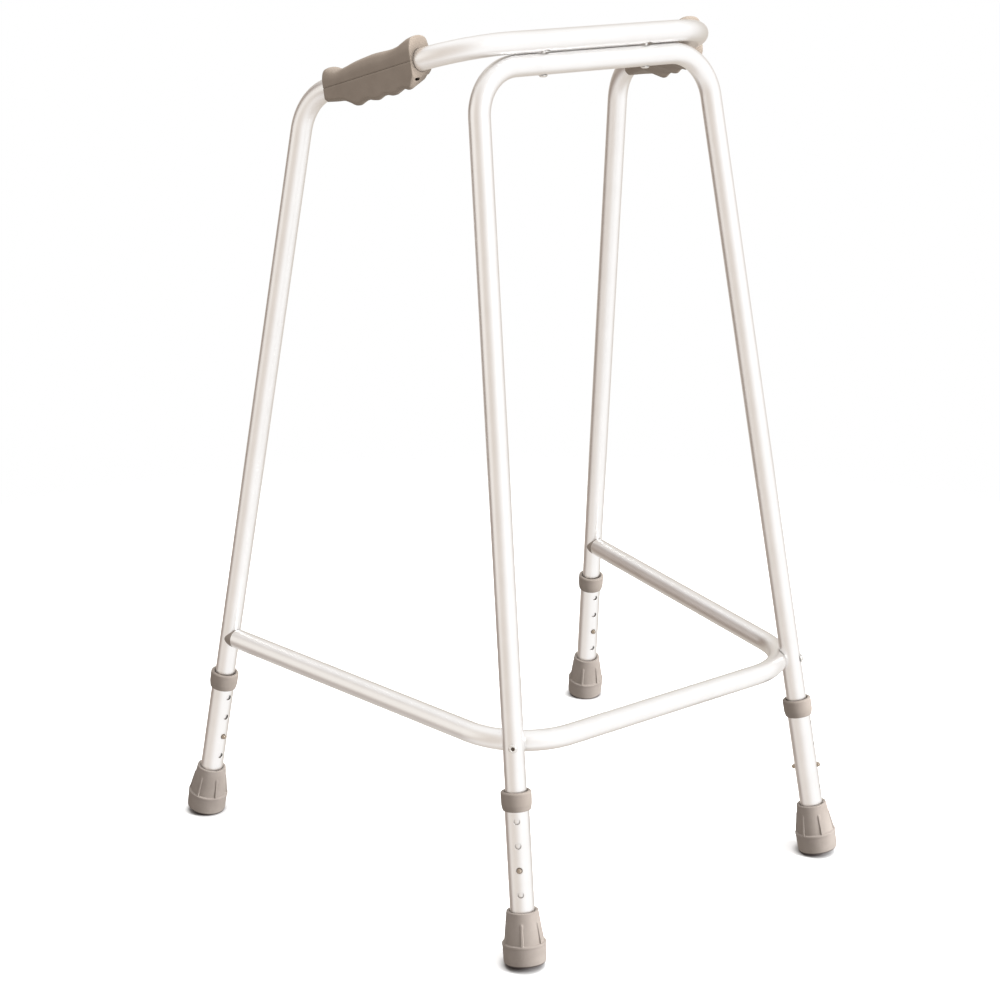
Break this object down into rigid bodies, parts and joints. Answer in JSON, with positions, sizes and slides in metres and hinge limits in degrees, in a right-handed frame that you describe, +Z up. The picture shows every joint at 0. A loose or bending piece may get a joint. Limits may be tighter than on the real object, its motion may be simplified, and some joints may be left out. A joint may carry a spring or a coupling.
{
  "type": "walking frame",
  "caption": "Height-adjustable walking frame of bent aluminium tube with moulded hand grips, a low U-shaped brace and telescoping legs on rubber ferrules.",
  "frame": {"origin": "on the floor at the centre of the footprint", "axes": "+Z up; the front, where the crossing tubes are, faces -Y; the user stands on the +Y side and faces -Y, so +X is the user's left"},
  "size_m": [0.6198, 0.5493, 0.9155],
  "materials": {
    "satin_aluminium": "satin anodised tube with fine drawing lines",
    "plated_steel": "bright plated steel, slightly warm",
    "spring_steel": "dark tempered strip",
    "grip_plastic": "moulded grey-brown plastic with a fine matt grain",
    "grey_plastic": "moulded warm grey plastic",
    "grey_rubber": "moulded warm grey rubber"
  },
  "bodies": {
    "frame": {"brace_saddle_left": "grey_plastic", "brace_saddle_right": "grey_plastic", "button_spring_front_left": "spring_steel", "button_spring_front_right": "spring_steel", "button_spring_rear_left": "spring_steel", "button_spring_rear_right": "spring_steel", "front_brace_rivet_left": "satin_aluminium", "front_brace_rivet_right": "satin_aluminium", "front_frame": "satin_aluminium", "grip_lower_shell_left": "grip_plastic", "grip_lower_shell_right": "grip_plastic", "grip_upper_shell_left": "grip_plastic", "grip_upper_shell_right": "grip_plastic", "lower_brace": "satin_aluminium", "rear_brace_rivet_left": "satin_aluminium", "rear_brace_rivet_right": "satin_aluminium", "top_rail": "satin_aluminium", "top_rivet_left": "satin_aluminium", "top_rivet_right": "satin_aluminium"},
    "leg_front_left": {"leg_extension_front_left": "satin_aluminium", "leg_collar_front_left": "grey_plastic", "ferrule_front_left": "grey_rubber", "ferrule_washer_front_left": "plated_steel"},
    "button_front_left_outer": {"snap_button_front_left_outer": "plated_steel"},
    "button_front_left_inner": {"snap_button_front_left_inner": "plated_steel"},
    "leg_front_right": {"leg_extension_front_right": "satin_aluminium", "leg_collar_front_right": "grey_plastic", "ferrule_front_right": "grey_rubber", "ferrule_washer_front_right": "plated_steel"},
    "button_front_right_outer": {"snap_button_front_right_outer": "plated_steel"},
    "button_front_right_inner": {"snap_button_front_right_inner": "plated_steel"},
    "leg_rear_left": {"leg_extension_rear_left": "satin_aluminium", "leg_collar_rear_left": "grey_plastic", "ferrule_rear_left": "grey_rubber", "ferrule_washer_rear_left": "plated_steel"},
    "button_rear_left_outer": {"snap_button_rear_left_outer": "plated_steel"},
    "button_rear_left_inner": {"snap_button_rear_left_inner": "plated_steel"},
    "leg_rear_right": {"leg_extension_rear_right": "satin_aluminium", "leg_collar_rear_right": "grey_plastic", "ferrule_rear_right": "grey_rubber", "ferrule_washer_rear_right": "plated_steel"},
    "button_rear_right_outer": {"snap_button_rear_right_outer": "plated_steel"},
    "button_rear_right_inner": {"snap_button_rear_right_inner": "plated_steel"}
  },
  "joints": [
    {"name": "leg_slide_front_left", "type": "slide", "parent": "frame", "child": "leg_front_left", "axis": [0.0683, -0.1873, -0.9799], "range_m": [-0.0254, 0.0508], "deforming": ["snap_button_front_left_outer", "snap_button_front_left_inner"]},
    {"name": "button_press_front_left_outer", "type": "slide", "parent": "frame", "child": "button_front_left_outer", "axis": [-0.6484, 0.7382, -0.1863], "range_m": [0, 0.0048], "stiffness_N_per_m": 800, "springref_m": -0.002, "deforming": ["button_spring_front_left"]},
    {"name": "button_press_front_left_inner", "type": "slide", "parent": "frame", "child": "button_front_left_inner", "axis": [0.6484, -0.7382, 0.1863], "range_m": [0, 0.0048], "stiffness_N_per_m": 800, "springref_m": -0.002, "deforming": ["button_spring_front_left"]},
    {"name": "leg_slide_front_right", "type": "slide", "parent": "frame", "child": "leg_front_right", "axis": [-0.0683, -0.1873, -0.9799], "range_m": [-0.0254, 0.0508], "deforming": ["snap_button_front_right_outer", "snap_button_front_right_inner"]},
    {"name": "button_press_front_right_outer", "type": "slide", "parent": "frame", "child": "button_front_right_outer", "axis": [0.6484, 0.7382, -0.1863], "range_m": [0, 0.0048], "stiffness_N_per_m": 800, "springref_m": -0.002, "deforming": ["button_spring_front_right"]},
    {"name": "button_press_front_right_inner", "type": "slide", "parent": "frame", "child": "button_front_right_inner", "axis": [-0.6484, -0.7382, 0.1863], "range_m": [0, 0.0048], "stiffness_N_per_m": 800, "springref_m": -0.002, "deforming": ["button_spring_front_right"]},
    {"name": "leg_slide_rear_left", "type": "slide", "parent": "frame", "child": "leg_rear_left", "axis": [0.0907, 0.1538, -0.9839], "range_m": [-0.0254, 0.0508], "deforming": ["snap_button_rear_left_outer", "snap_button_rear_left_inner"]},
    {"name": "button_press_rear_left_outer", "type": "slide", "parent": "frame", "child": "button_rear_left_outer", "axis": [-0.1426, -0.9758, -0.1657], "range_m": [0, 0.0048], "stiffness_N_per_m": 800, "springref_m": -0.002, "deforming": ["button_spring_rear_left"]},
    {"name": "button_press_rear_left_inner", "type": "slide", "parent": "frame", "child": "button_rear_left_inner", "axis": [0.1426, 0.9758, 0.1657], "range_m": [0, 0.0048], "stiffness_N_per_m": 800, "springref_m": -0.002, "deforming": ["button_spring_rear_left"]},
    {"name": "leg_slide_rear_right", "type": "slide", "parent": "frame", "child": "leg_rear_right", "axis": [-0.0907, 0.1538, -0.9839], "range_m": [-0.0254, 0.0508], "deforming": ["snap_button_rear_right_outer", "snap_button_rear_right_inner"]},
    {"name": "button_press_rear_right_outer", "type": "slide", "parent": "frame", "child": "button_rear_right_outer", "axis": [0.1426, -0.9758, -0.1657], "range_m": [0, 0.0048], "stiffness_N_per_m": 800, "springref_m": -0.002, "deforming": ["button_spring_rear_right"]},
    {"name": "button_press_rear_right_inner", "type": "slide", "parent": "frame", "child": "button_rear_right_inner", "axis": [-0.1426, 0.9758, 0.1657], "range_m": [0, 0.0048], "stiffness_N_per_m": 800, "springref_m": -0.002, "deforming": ["button_spring_rear_right"]}
  ]
}
